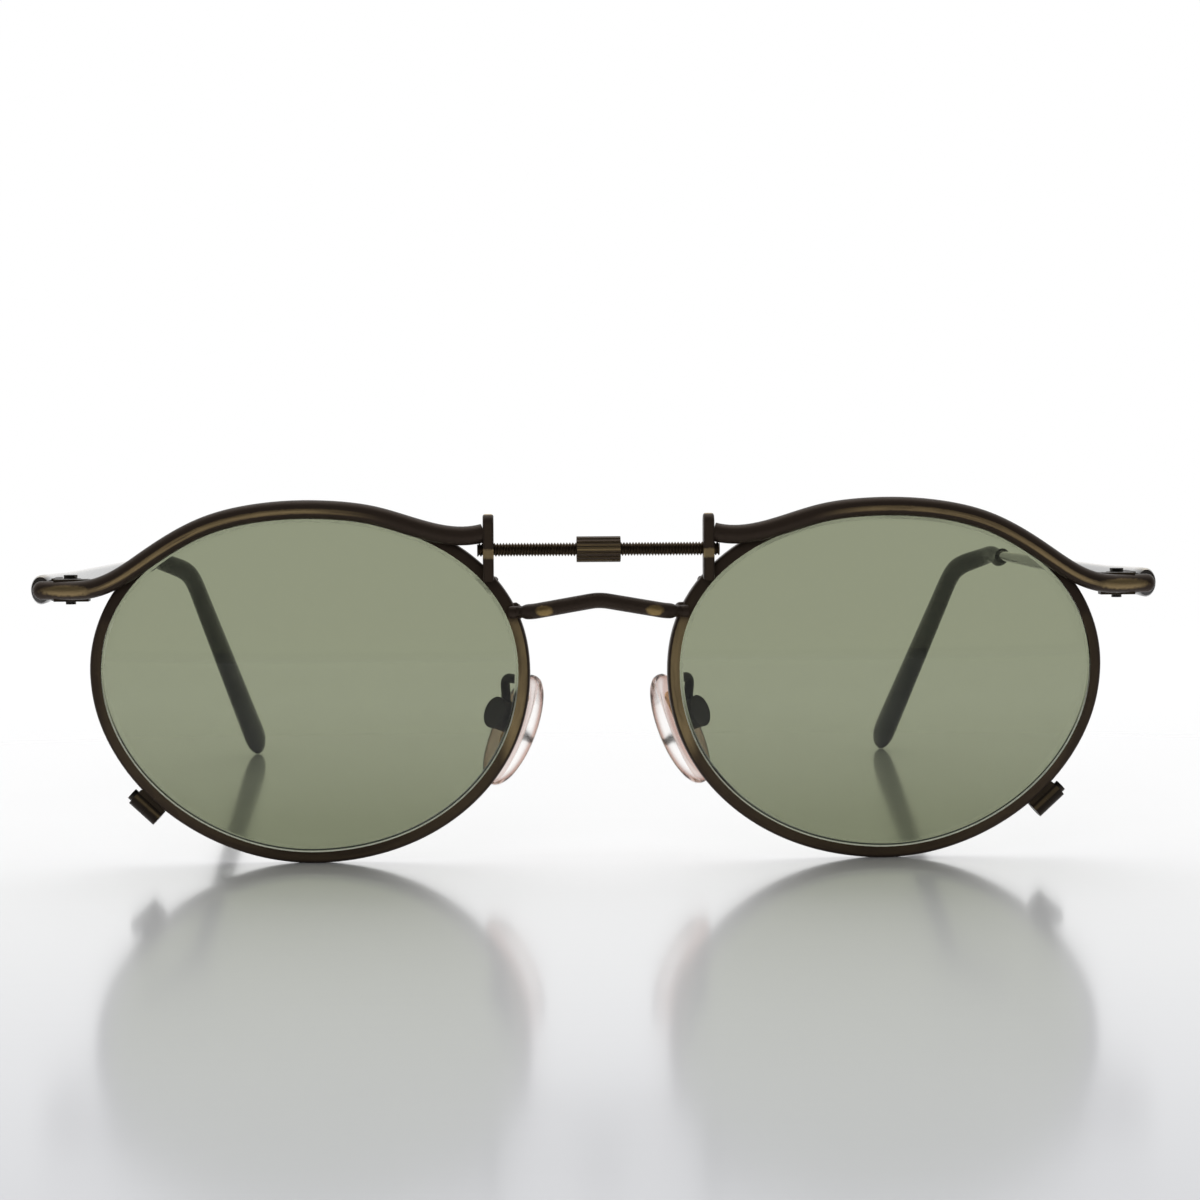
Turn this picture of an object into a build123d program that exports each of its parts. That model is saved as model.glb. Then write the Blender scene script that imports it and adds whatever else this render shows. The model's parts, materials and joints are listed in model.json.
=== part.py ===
from build123d import *
import os
from math import cos, hypot, pi, radians, sin, sqrt

# Oval metal eyeglasses, in millimetres.
# X runs to the wearer's left, Y towards the ears, Z up. The glasses stand on both rims and both temple tips.
# The origin is on that surface, below the middle of the whole outline.

# Lens openings: an oval whose widest line lies a little above its middle
lens_width = 49.1
lens_height = 39.2
bridge_gap = 18.5
widest_lift = 1.47
upper_power = 2.13
lower_outer_power = 1.89
lower_nasal_power = 2.08
oval_steps = 32
front_curve_radius = 130.0
wrap_angle = 3.0

# Rims
rim_thickness = 1.15
rim_depth = 1.7
rim_outer_round = 0.45
rim_split = 0.1

# Lenses
lens_thickness = 1.9
bevel_inset = 0.35
bevel_reach = 0.4
bevel_flat = 0.2
groove_clearance = 0.04

# How far a cut or a hidden end runs past its face, and how deep a brazed end sinks before it is trimmed
overrun = 10.0
braze_sink = 0.45

# The whole front to back, and how far the middle of the lens curve lies behind the foremost point
overall_depth = 134.75
front_set_back = 2.15

# Brow bars: over the rim's top, then down in an S to a straight outer end
bar_diameter = 2.2
bar_overlap_on_rim = 0.2
bar_first_angle = 128.0
bar_last_angle = 56.0
bar_steps = 5
bar_inner_drop = 1.95
bar_ease_reach = 3.97
bar_ease_drop = 0.2
bar_end_drop = 8.45
bar_leave_inset = 6.0
bar_leave_rise = 3.75
bar_end_outset = 6.75
bar_outer_shares = [(0, 1), (0.33, 0.3), (0.53, 0.06), (0.72, 0), (1, 0)]

# Posts between each rim, its brow bar and the rod
post_outset = 3.55
post_width = 1.27
post_depth = 2.5
post_rise = 0.25
post_height = 7.8
post_round = 0.3

# Threaded rod and the knurled sleeve on it
rod_diameter = 1.6
rod_pitch = 0.35
rod_thread_depth = 0.2
rod_overhang = 0.65
rod_drop = 3.9
rod_set_back = 0.2
rod_fit = 0.03
sleeve_length = 5.1
sleeve_diameter = 3.0
sleeve_flutes = 16
flute_depth = 0.2

# Bridge
bridge_diameter = 1.8
bridge_angle = 164.0
bridge_peak_drop = 9.7
bridge_knee_inset = 1.5
bridge_knee_rise = 0.15
bridge_stand_off = 2.1
bridge_knee_radius = 1.6
bridge_peak_radius = 6.0

# Closing blocks that join the ends of the split rims
lock_angle = -38.5
lock_length = 3.8
lock_diameter = 2.1
lock_stand = 1.15
lock_web_length = 3.6
lock_web_depth = 1.5
lock_screw_diameter = 1.1
lock_head_diameter = 1.4
lock_head_length = 0.5
screw_clearance = 0.03
slot_width = 0.3
slot_depth = 0.25

# Nose pads with their metal inserts, boxes and screws, placed by the screw's middle
pad_outset = 1.85
pad_set_back = 7.7
pad_axis_drop = 23.8
pad_frontal_angle = 23.0
pad_splay_angle = 35.0
pad_height = 14.0
pad_width = 8.2
pad_thickness = 2.6
pad_drop = 1.3
pad_round = 0.8
pad_top_share = 0.9
pad_steps = 16
pad_gap = 0.4
box_diameter = 3.8
box_front = 0.9
box_back = 1.6
box_slot_width = 1.25
box_slot_floor = 1.15
eye_radius = 0.95
eye_thickness = 1.05
pad_screw_diameter = 0.9
pad_screw_fit = 0.04
pad_head_diameter = 1.5
pad_head_length = 0.35
insert_height = 6.9
insert_width = 2.3
insert_thickness = 0.35
insert_sink = 0.3
insert_neck_height = 1.2

# Arms that carry the pads
arm_diameter = 1.1
arm_angle = 188.0
arm_first_inset = 0.3
arm_first_back = 3.8
arm_first_drop = 19.35
arm_second_outset = 1.8
arm_second_back = 6.5
arm_second_drop = 19.15
arm_bend_radius = 1.2
arm_end_reach = 0.4

# Hinges
hinge_outset = 3.55
knuckle_radius = 1.2
knuckle_total = 2.6
knuckle_gap = 0.04
knuckle_clearance = 0.25
leaf_thickness = 0.7
front_leaf_length = 4.1
front_leaf_shift = 0.45
temple_leaf_length = 5.0
temple_leaf_start = 0.6
leaf_clearance = 0.3
web_start = 0.2
hinge_screw_diameter = 1.2
hinge_screw_fit = 0.03
hinge_head_diameter = 1.6
hinge_head_length = 0.4
hinge_tip_length = 0.45
hinge_search_steps = 400

# Temples: a round-ended butt, a tapering bar and a wire inside the plastic tip
temple_outset = 6.95
butt_gap = 0.15
butt_height = 3.4
butt_width = 2.4
butt_crown = 0.5
butt_crown_share = 0.72
butt_shoulder_share = 0.9
butt_length = 4.0
temple_waist_back = 20.0
temple_waist_height = 2.6
temple_waist_width = 1.7
temple_wire_diameter = 1.4
temple_wire_outset = 4.2

# Plastic tips, from their mouths to the ends that stand on the surface
tip_start = 93.0
tip_first_back = 99.0
tip_first_outset = 3.2
tip_second_back = 105.5
tip_second_outset = -1.0
tip_second_drop = 10.55
tip_end_back = 131.8
tip_end_outset = -9.0
tip_end_height = 0.77
tip_bend_radius = 9.0
tip_mouth_diameter = 2.2
tip_neck_width = 2.3
tip_neck_height = 2.9
tip_middle_width = 2.5
tip_middle_height = 3.7
tip_end_width = 2.9
tip_end_size = 4.3
tip_neck_share = 0.25
tip_middle_share = 0.55
tip_widest_share = 0.9
tip_sections = 14
tip_rounding_share = 0.975
tip_shoulder_share = 0.86
tip_nose_share = 0.5
core_share = 0.6
core_fit = 0.02

# Places that follow from the sizes above
half_depth = rim_depth / 2
bar_radius = bar_diameter / 2
front_y = front_set_back - overall_depth / 2
lens_centre_x = (bridge_gap + lens_width) / 2
lens_centre_z = lens_height / 2 + rim_thickness
lens_inner_x = bridge_gap / 2
lens_outer_x = lens_inner_x + lens_width
lens_top = lens_height + rim_thickness
lens_place = Pos(lens_centre_x, front_y, lens_centre_z) * Rot(0, 0, wrap_angle)
post_x = lens_inner_x + post_outset
rod_height = lens_top - rod_drop
bar_height = lens_top - bar_end_drop
hinge_x = lens_outer_x + hinge_outset
temple_wire_x = lens_outer_x + temple_wire_outset


def oval_radius(angle):
    """Distance from the middle of the widest line to the opening's edge, at an angle from the outer side."""
    across = abs(cos(radians(angle))) / (lens_width / 2)
    if sin(radians(angle)) >= 0:
        power = upper_power
        reach = lens_height / 2 - widest_lift
    else:
        power = lower_outer_power if cos(radians(angle)) > 0 else lower_nasal_power
        reach = lens_height / 2 + widest_lift
    up = abs(sin(radians(angle))) / reach
    return (across**power + up**power) ** (-1 / power)


def oval_tangent(angle):
    """Direction in which the opening's edge runs at an angle."""
    step = 360 / oval_steps / oval_steps
    before = oval_radius(angle - step)
    after = oval_radius(angle + step)
    run_x = after * cos(radians(angle + step)) - before * cos(radians(angle - step))
    run_z = after * sin(radians(angle + step)) - before * sin(radians(angle - step))
    return run_x / hypot(run_x, run_z), run_z / hypot(run_x, run_z)


def oval_point(angle, grow):
    """Point of the opening's edge, moved out square to that edge, about the opening's middle."""
    run_x, run_z = oval_tangent(angle)
    radius = oval_radius(angle)
    x = radius * cos(radians(angle)) + grow * run_z
    z = widest_lift + radius * sin(radians(angle)) - grow * run_x
    return x, z


def sag(x, z):
    """How far the front curve falls back at a place on the lens."""
    return front_curve_radius - sqrt(front_curve_radius**2 - x**2 - z**2)


def on_front(angle, grow, back):
    """Place on the front curve by the rim's angle, moved back from the rim's middle depth."""
    x, z = oval_point(angle, grow)
    return (lens_place * Pos(x, sag(x, z) + back, z)).position


def oval_prism(grow):
    """Straight bar of the lens outline that runs right through the front."""
    points = [oval_point(360 * i / oval_steps, grow) for i in range(oval_steps)]
    edge = Spline([(x, -overrun, z) for x, z in points], periodic=True)
    return Solid.extrude(make_face(edge).face(), Vector(0, 2 * overrun, 0))


def curved_plate(grow, thickness):
    """Oval plate of one thickness that follows the front curve."""
    middle = Pos(0, front_curve_radius, 0)
    outside = middle * Sphere(front_curve_radius + thickness / 2)
    inside = middle * Sphere(front_curve_radius - thickness / 2)
    return (oval_prism(grow) & outside - inside).solid()


def bevelled_plate(grow, thickness):
    """Lens blank with a V bevel all round its edge."""
    blank = curved_plate(bevel_reach + grow, thickness)
    side = blank.faces().sort_by(SortBy.AREA)[0]
    rims = side.edges().sort_by(SortBy.LENGTH)[-2:]
    down = (thickness - bevel_flat) / 2
    return chamfer(rims, length=down, length2=bevel_inset + bevel_reach, reference=side).solid()


def lock_place():
    """Frame at a closing block: X square out of the rim, Z along it and up."""
    x, z = oval_point(lock_angle, rim_thickness)
    run_x, run_z = oval_tangent(lock_angle)
    turn = Vector(0, 0, 1).get_signed_angle(Vector(run_x, 0, run_z), Vector(0, 1, 0))
    return lens_place * Pos(x, sag(x, z), z) * Rot(0, turn, 0)


def make_lens():
    return lens_place * bevelled_plate(0, lens_thickness)


def make_rim():
    ring = curved_plate(rim_thickness, rim_depth) - oval_prism(0)
    outer_edges = ring.edges().sort_by(SortBy.LENGTH)[-2:]
    ring = fillet(outer_edges, rim_outer_round)
    ring = ring - bevelled_plate(groove_clearance, lens_thickness + 2 * groove_clearance)
    saw = Box(overrun, overrun, rim_split)
    return (lens_place * ring - lock_place() * saw).solid()


def bar_line():
    """Centre line of a brow bar, from the post out to its end."""
    grow = bar_radius - bar_overlap_on_rim
    inner_x = post_x + post_width / 2
    inner_z = lens_top - bar_inner_drop
    flat = [(inner_x, inner_z), (inner_x + bar_ease_reach, inner_z - bar_ease_drop)]
    leave_x = lens_outer_x - bar_leave_inset
    run = bar_end_outset + bar_leave_inset
    outer = [(leave_x + run * along, bar_height + bar_leave_rise * up) for along, up in bar_outer_shares]
    step = (bar_last_angle - bar_first_angle) / bar_steps
    over = [oval_point(bar_first_angle + step * i, grow) for i in range(bar_steps + 1)]
    route = [(x - lens_centre_x, z - lens_centre_z) for x, z in flat]
    route += over
    route += [(x - lens_centre_x, z - lens_centre_z) for x, z in outer]
    stand_off = half_depth + bar_radius - bar_overlap_on_rim
    return Spline([(lens_place * Pos(x, sag(x, z) - stand_off, z)).position for x, z in route])


def round_wire(line, diameter):
    """Round wire along a line, cut square at both ends."""
    start = Plane(origin=line @ 0, z_dir=line % 0)
    return sweep(start * Circle(diameter / 2), path=line).solid()


def make_brow_bar(line, rim):
    bar = round_wire(line, bar_diameter) + Pos(line @ 1) * Sphere(bar_radius)
    return (bar - rim).solid()


def make_post(centre_y, rim, bar):
    straight = post_height - post_depth / 2
    round_at = lens_top + post_rise - post_depth / 2
    plate = Pos(post_x, centre_y, round_at - straight / 2) * Box(post_width, post_depth, straight)
    plate += Pos(post_x, centre_y, round_at) * Rot(0, 90, 0) * Cylinder(post_depth / 2, post_width)
    sides = plate.faces().sort_by(Axis.X)
    plate = fillet(sides[0].edges() + sides[-1].edges(), post_round)
    bore = Rot(0, 90, 0) * Cylinder(rod_diameter / 2 + rod_fit, 2 * post_width)
    plate -= Pos(post_x, centre_y + rod_set_back, rod_height) * bore
    return (plate - rim - bar).solids().sort_by(SortBy.VOLUME)[-1]


def make_rod(rod_y):
    """Rod with its thread cut as rings, one to a pitch."""
    half = post_x + post_width / 2 + rod_overhang
    crest = rod_diameter / 2
    root = crest - rod_thread_depth
    turns = int(2 * half / rod_pitch)
    first = -turns * rod_pitch / 2
    outline = [(-half, 0), (-half, root)]
    for i in range(turns):
        outline.append((first + rod_pitch * (i + 1 / 2), crest))
        outline.append((first + rod_pitch * (i + 1), root))
    outline += [(half, root), (half, 0)]
    edge = Polyline([(x, 0, r) for x, r in outline], close=True)
    rod = revolve(make_face(edge), Axis.X)
    return (Pos(0, rod_y, rod_height) * rod).solid()


def make_knurled_sleeve(rod_y):
    outline = []
    for i in range(sleeve_flutes):
        for share, radius in (
            (-1 / 4, sleeve_diameter / 2),
            (1 / 4, sleeve_diameter / 2),
            (1 / 3, sleeve_diameter / 2 - flute_depth),
            (2 / 3, sleeve_diameter / 2 - flute_depth),
        ):
            turn = 2 * pi * (i + share) / sleeve_flutes
            outline.append((-sleeve_length / 2, radius * cos(turn), radius * sin(turn)))
    face = make_face(Polyline(outline, close=True)).face()
    body = Solid.extrude(face, Vector(sleeve_length, 0, 0))
    body -= Rot(0, 90, 0) * Cylinder(rod_diameter / 2 + rod_fit, 2 * sleeve_length)
    return (Pos(0, rod_y, rod_height) * body).solid()


def make_bridge(rims):
    end = on_front(bridge_angle, rim_thickness - braze_sink, -half_depth / 2)
    knee = Vector(lens_inner_x - bridge_knee_inset, end.Y - bridge_stand_off, end.Z + bridge_knee_rise)
    peak = Vector(0, knee.Y, lens_top - bridge_peak_drop)
    left = [end, knee]
    right = [Vector(-p.X, p.Y, p.Z) for p in (knee, end)]
    radii = [bridge_knee_radius, bridge_peak_radius, bridge_knee_radius]
    line = FilletPolyline(*left, peak, *right, radius=radii)
    bridge = round_wire(line, bridge_diameter)
    for rim in rims:
        bridge = bridge - rim
    return bridge.solids().sort_by(SortBy.VOLUME)[-1]


def make_lock(rim):
    """The two halves of a closing block, one brazed to each end of the split rim."""
    barrel = Pos(lock_stand, 0, 0) * Cylinder(lock_diameter / 2, lock_length)
    web_reach = lock_stand + rim_thickness / 2
    web = Pos(lock_stand - web_reach / 2, 0, 0) * Box(web_reach, lock_web_depth, lock_web_length)
    bore = Pos(lock_stand, 0, 0) * Cylinder(lock_screw_diameter / 2 + screw_clearance, 2 * lock_length)
    block = barrel + web - bore - Box(overrun, overrun, rim_split)
    halves = (lock_place() * block - rim).solids().sort_by(SortBy.VOLUME)[-2:]
    return Compound(children=list(halves))


def make_lock_screw():
    shank = Pos(lock_stand, 0, 0) * Cylinder(lock_screw_diameter / 2, lock_length)
    head_z = (lock_length + lock_head_length) / 2
    head = Pos(lock_stand, 0, head_z) * Cylinder(lock_head_diameter / 2, lock_head_length)
    top = head_z + lock_head_length / 2
    slot = Pos(lock_stand, 0, top) * Box(overrun, slot_width, 2 * slot_depth)
    return (lock_place() * (shank + head - slot)).solid()


def pad_place():
    """Frame at a pad's screw: X away from the nose, Y along the screw to the back, Z up the pad."""
    place = Pos(lens_inner_x + pad_outset, front_y + pad_set_back, lens_top - pad_axis_drop)
    return place * Rot(0, -pad_frontal_angle, 0) * Rot(0, 0, -pad_splay_angle)


def insert_shape():
    back_face = -box_front - pad_gap
    plate_x = back_face - insert_sink - insert_thickness / 2
    plate = Box(insert_thickness, insert_width, insert_height)
    plate = fillet(plate.edges().filter_by(Axis.X), insert_width / 2 - insert_thickness)
    neck = Pos(plate_x / 2, 0, 0) * Box(-plate_x, eye_thickness, insert_neck_height)
    eye = Rot(90, 0, 0) * Cylinder(eye_radius, eye_thickness)
    hole = Rot(90, 0, 0) * Cylinder(pad_screw_diameter / 2 + pad_screw_fit, box_diameter)
    return (Pos(plate_x, 0, 0) * plate + neck + eye - hole).solid()


def make_nose_pad():
    back_face = -box_front - pad_gap
    points = []
    for i in range(pad_steps):
        turn = 2 * pi * i / pad_steps
        narrow = 1 + (pad_top_share - 1) * (1 + sin(turn)) / 2
        points.append((back_face, pad_width / 2 * narrow * cos(turn), pad_height / 2 * sin(turn) - pad_drop))
    face = make_face(Spline(points, periodic=True)).face()
    pad = Solid.extrude(face, Vector(-pad_thickness, 0, 0))
    pad = fillet(pad.edges().sort_by(SortBy.LENGTH)[-2:], pad_round)
    return (pad_place() * (pad - insert_shape())).solid()


def make_pad_box():
    length = box_front + box_back
    cup = Pos((box_back - box_front) / 2, 0, 0) * Rot(0, 90, 0) * Cylinder(box_diameter / 2, length)
    slot_x = (box_slot_floor - box_front) / 2
    slot = Pos(slot_x, 0, 0) * Box(box_front + box_slot_floor, box_slot_width, 2 * box_diameter)
    hole = Rot(90, 0, 0) * Cylinder(pad_screw_diameter / 2 + pad_screw_fit, 2 * box_diameter)
    return (pad_place() * (cup - slot - hole)).solid()


def make_pad_screw():
    shank = Rot(90, 0, 0) * Cylinder(pad_screw_diameter / 2, box_diameter)
    head_y = -(box_diameter + pad_head_length) / 2
    head = Pos(0, head_y, 0) * Rot(90, 0, 0) * Cylinder(pad_head_diameter / 2, pad_head_length)
    slot = Pos(0, head_y - pad_head_length / 2, 0) * Box(overrun, slot_depth, slot_width)
    return (pad_place() * (shank + head - slot)).solid()


def make_pad_arm(rim, box):
    root = on_front(arm_angle, rim_thickness / 2, half_depth - braze_sink)
    first = Vector(lens_inner_x - arm_first_inset, front_y + arm_first_back, lens_top - arm_first_drop)
    second = Vector(lens_inner_x + arm_second_outset, front_y + arm_second_back, lens_top - arm_second_drop)
    end = (pad_place() * Pos(arm_end_reach, 0, box_diameter / 2 - braze_sink)).position
    line = FilletPolyline(root, first, second, end, radius=arm_bend_radius)
    arm = round_wire(line, arm_diameter) - rim - box
    return arm.solids().sort_by(SortBy.VOLUME)[-1]


def hinge_y_from(bar_back):
    return bar_back + leaf_thickness + knuckle_clearance + knuckle_radius


def knuckle(height, middle_z, hinge_y):
    return Pos(hinge_x, hinge_y, middle_z) * Cylinder(knuckle_radius, height)


def hinge_bore(hinge_y):
    return Pos(hinge_x, hinge_y, bar_height) * Cylinder(hinge_screw_diameter / 2 + hinge_screw_fit, overrun)


def make_front_hinge(bar_back, bar):
    """Leaf brazed behind the brow bar, with the upper and the lower knuckle."""
    hinge_y = hinge_y_from(bar_back)
    leaf_back = bar_back + leaf_thickness
    leaf_front = bar_back - bar_radius
    leaf = Box(front_leaf_length, leaf_back - leaf_front, knuckle_total)
    leaf = Pos(hinge_x - front_leaf_shift, (leaf_back + leaf_front) / 2, bar_height) * leaf
    height = knuckle_total / 3
    for side in (-1, 1):
        middle_z = bar_height + side * height
        leaf += knuckle(height, middle_z, hinge_y)
        web = Box(2 * knuckle_radius, hinge_y - leaf_back, height)
        leaf += Pos(hinge_x, (hinge_y + leaf_back) / 2, middle_z) * web
    return (leaf - hinge_bore(hinge_y) - bar).solids().sort_by(SortBy.VOLUME)[-1]


def make_temple_hinge(hinge_y, temple):
    """Leaf brazed inside the temple, with the middle knuckle."""
    plate_x = hinge_x + knuckle_radius + leaf_clearance + leaf_thickness / 2
    plate_y = hinge_y - temple_leaf_start + temple_leaf_length / 2
    leaf = Pos(plate_x, plate_y, bar_height) * Box(leaf_thickness, temple_leaf_length, knuckle_total)
    height = knuckle_total / 3 - 2 * knuckle_gap
    leaf += knuckle(height, bar_height, hinge_y)
    web_depth = knuckle_radius + web_start
    web = Box(plate_x - hinge_x, web_depth, height)
    leaf += Pos((plate_x + hinge_x) / 2, hinge_y - web_start + web_depth / 2, bar_height) * web
    return (leaf - hinge_bore(hinge_y) - temple).solids().sort_by(SortBy.VOLUME)[-1]


def make_hinge_screw(hinge_y):
    length = knuckle_total + hinge_tip_length
    shank = Pos(0, 0, -hinge_tip_length / 2) * Cylinder(hinge_screw_diameter / 2, length)
    head_z = (knuckle_total + hinge_head_length) / 2
    head = Pos(0, 0, head_z) * Cylinder(hinge_head_diameter / 2, hinge_head_length)
    slot = Pos(0, 0, head_z + hinge_head_length / 2) * Box(overrun, slot_width, 2 * slot_depth)
    return (Pos(hinge_x, hinge_y, bar_height) * (shank + head - slot)).solid()


def tip_line(last_share):
    """Line inside a plastic tip, as far along its last straight run as the share says."""
    mouth = Vector(temple_wire_x, front_y + tip_start, bar_height)
    first = Vector(lens_outer_x + tip_first_outset, front_y + tip_first_back, bar_height)
    second = Vector(lens_outer_x + tip_second_outset, front_y + tip_second_back, lens_top - tip_second_drop)
    end = Vector(lens_outer_x + tip_end_outset, front_y + tip_end_back, tip_end_height)
    last = second + (end - second) * last_share
    return FilletPolyline(mouth, first, second, last, radius=tip_bend_radius)


def across_plane(line, share):
    """Plane square to a line, with its X level."""
    along = line % share
    return Plane(origin=line @ share, x_dir=along.cross(Vector(0, 0, 1)), z_dir=along)


def make_temple(butt_front):
    """Metal temple, with the thin wire that runs on inside the tip."""
    wire_line = tip_line(core_share)
    run = wire_line.position_at(0).Y - butt_front
    lean = (temple_wire_outset - temple_outset) / run
    shoulder = butt_crown * (1 - butt_crown_share)
    sections = []
    for back, width, height in (
        (0, butt_width * butt_crown_share, butt_height * butt_crown_share),
        (shoulder, butt_width * butt_shoulder_share, butt_height * butt_shoulder_share),
        (butt_crown, butt_width, butt_height),
        (butt_length, butt_width, butt_height),
        (temple_waist_back, temple_waist_width, temple_waist_height),
    ):
        spot = (lens_outer_x + temple_outset + lean * back, butt_front + back, bar_height)
        sections.append(Plane(origin=spot, x_dir=(1, 0, 0), z_dir=(0, 1, 0)) * Ellipse(width / 2, height / 2))
    sections.append(across_plane(wire_line, 0) * Circle(temple_wire_diameter / 2))
    bar = loft(sections, ruled=True)
    wire = sweep(sections[-1], path=wire_line)
    return (bar + wire).solid()


def between(share, stations):
    """Width and height at a share of the length, read off a list of stations."""
    for (start, *before), (stop, *after) in zip(stations, stations[1:]):
        if share <= stop:
            part = (share - start) / (stop - start)
            return [a + (b - a) * part for a, b in zip(before, after)]


def make_tip():
    """Plastic tip with a bore for the temple's wire."""
    line = tip_line(1)
    stations = (
        (0, tip_mouth_diameter, tip_mouth_diameter),
        (tip_neck_share, tip_neck_width, tip_neck_height),
        (tip_middle_share, tip_middle_width, tip_middle_height),
        (tip_widest_share, tip_end_width, tip_end_size),
        (tip_rounding_share, tip_end_width * tip_shoulder_share, tip_end_size * tip_shoulder_share),
        (1, tip_end_width * tip_nose_share, tip_end_size * tip_nose_share),
    )
    shares = [tip_widest_share * i / tip_sections for i in range(tip_sections + 1)] + [tip_rounding_share, 1]
    sections = []
    for share in shares:
        width, height = between(share, stations)
        sections.append(across_plane(line, share) * Ellipse(width / 2, height / 2))
    bore = round_wire(tip_line(core_share), temple_wire_diameter + 2 * core_fit)
    return (loft(sections) - bore).solid()


def main():
    os.makedirs("parts", exist_ok=True)
    rim = make_rim()
    line = bar_line()
    bar = make_brow_bar(line, rim)
    post_y = (line @ 0).Y
    rod_y = post_y + rod_set_back
    along = [line @ (i / hinge_search_steps) for i in range(hinge_search_steps + 1)]
    bar_back = min(along, key=lambda p: abs(p.X - hinge_x)).Y + bar_radius
    hinge_y = hinge_y_from(bar_back)
    butt_front = (line @ 1).Y + bar_radius + butt_gap
    temple = make_temple(butt_front)
    box = make_pad_box()
    left = {
        "rim": rim,
        "lens": make_lens(),
        "brow_bar": bar,
        "post": make_post(post_y, rim, bar),
        "rim_lock": make_lock(rim),
        "lock_screw": make_lock_screw(),
        "pad_box": box,
        "pad_arm": make_pad_arm(rim, box),
        "pad_screw": make_pad_screw(),
        "pad_insert": pad_place() * insert_shape(),
        "nose_pad": make_nose_pad(),
        "front_hinge": make_front_hinge(bar_back, bar),
        "hinge_screw": make_hinge_screw(hinge_y),
        "temple": temple,
        "temple_hinge": make_temple_hinge(hinge_y, temple),
        "tip": make_tip(),
    }
    parts = {"threaded_rod": make_rod(rod_y), "knurled_sleeve": make_knurled_sleeve(rod_y)}
    for name, shape in left.items():
        parts[f"left_{name}"] = shape
        parts[f"right_{name}"] = mirror(shape, about=Plane.YZ)
    parts["bridge"] = make_bridge([parts["left_rim"], parts["right_rim"]])
    for name, shape in parts.items():
        export_step(shape, f"parts/{name}.step")
    whole = Compound(children=[shape for shape in parts.values()]).bounding_box()
    print("outline", whole)
    print("hinge axis", hinge_x, hinge_y, "rod", rod_y, rod_height)
    pad = pad_place()
    print("pad axis", pad.position, "along", (pad * Pos(0, 1, 0)).position - pad.position)


main()
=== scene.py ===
import json
from math import cos, exp, pi, radians, sin, sqrt

import bmesh
import bpy
from mathutils import Matrix, Vector, noise


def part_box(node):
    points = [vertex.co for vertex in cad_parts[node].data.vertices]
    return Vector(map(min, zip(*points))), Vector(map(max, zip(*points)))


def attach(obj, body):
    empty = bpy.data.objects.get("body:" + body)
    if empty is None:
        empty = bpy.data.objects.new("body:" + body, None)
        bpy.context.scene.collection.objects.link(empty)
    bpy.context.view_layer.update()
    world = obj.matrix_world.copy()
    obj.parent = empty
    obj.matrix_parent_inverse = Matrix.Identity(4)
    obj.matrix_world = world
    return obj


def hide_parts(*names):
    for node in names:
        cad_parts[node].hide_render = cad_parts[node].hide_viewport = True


# Oval eyeglasses in antique bronze, standing open on a pale glossy table.
# Lengths below are millimetres, and MM makes them Blender's metres.
MM = 0.001

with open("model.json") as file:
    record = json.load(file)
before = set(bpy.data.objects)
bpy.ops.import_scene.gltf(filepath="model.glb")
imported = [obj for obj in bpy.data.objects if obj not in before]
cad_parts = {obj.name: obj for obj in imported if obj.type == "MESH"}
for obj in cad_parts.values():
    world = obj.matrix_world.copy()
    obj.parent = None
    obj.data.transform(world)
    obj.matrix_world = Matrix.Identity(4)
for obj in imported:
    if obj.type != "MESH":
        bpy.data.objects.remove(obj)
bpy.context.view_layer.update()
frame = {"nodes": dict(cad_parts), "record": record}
body_of_node = {n: body for body, nodes in frame["record"]["behaviour"]["bodies"].items() for n in nodes}
sides = ((1, "left"), (-1, "right"))

# Where the middle of the lens curve lies, behind the foremost point of the whole
overall_depth = 134.75 * MM
front_set_back = 2.15 * MM
front_y = front_set_back - overall_depth / 2

# Lenses and their oval, as in the model, with a bevel that comes further onto their faces
lens_width = 49.1 * MM
lens_height = 39.2 * MM
lens_centre = Vector((33.8 * MM, front_y, 20.75 * MM))
widest_lift = 1.47 * MM
upper_power = 2.13
lower_outer_power = 1.89
lower_nasal_power = 2.08
front_curve_radius = 130 * MM
wrap_angle = 3
lens_thickness = 1.9 * MM
bevel_inset = 0.6 * MM
bevel_reach = 0.4 * MM
bevel_flat = 0.2 * MM
lens_segments = 160
lens_rings = 14
first_ring_share = 0.35
front_bevel_shares = (0.03, 0.1, 0.2, 0.3, 0.4, 0.5, 0.75, 1)
clear_from_share = 0.72
clear_to_share = 0.74
clear_mark = 0.95

# Split of the rims at the closing blocks: its angle on the lens's oval, the step in radians that gives its
# direction, and the zone that is drawn together
lock_angle = -38.5
split_turn_step = 0.01
split_zone = 0.08 * MM
split_zone_radius = 5 * MM
split_left_open = 0.003 * MM

# Rod: a thread with a root, two flanks and a narrow crest, as shares of its pitch
rod_low, rod_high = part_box("threaded_rod")
rod_radius = (rod_high.z - rod_low.z) / 2
rod_pitch = 0.35 * MM
rod_depth = 0.2 * MM
rod_steps = 24
rod_spare_turns = 3
root_shares = (0, 0.06, 0.94, 1)
crest_shares = (0.44, 0.56)

# Bridge wire, with a neck where it is brazed to the rims
bridge_steps = 90
bridge_segments = 28
bridge_radius = 0.9 * MM
bridge_end_inset = 0.25 * MM
neck_place = 9.05 * MM
neck_reach = 0.45 * MM
neck_share = 0.3
braze_share = 0.2

# Drops of solder, as places and half sizes
bridge_drop_place = Vector((9.75 * MM, front_y + 1.2 * MM, 29.5 * MM))
bridge_drop_size = (0.85 * MM, 0.6 * MM, 0.72 * MM)
post_drop_place = Vector((12.15 * MM, front_y + 2.2 * MM, 32.8 * MM))
post_drop_size = (0.5 * MM, 0.6 * MM, 0.45 * MM)
drop_swell = 0.18
drop_swell_rate = 1.7
drop_pattern_shift = 900

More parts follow.
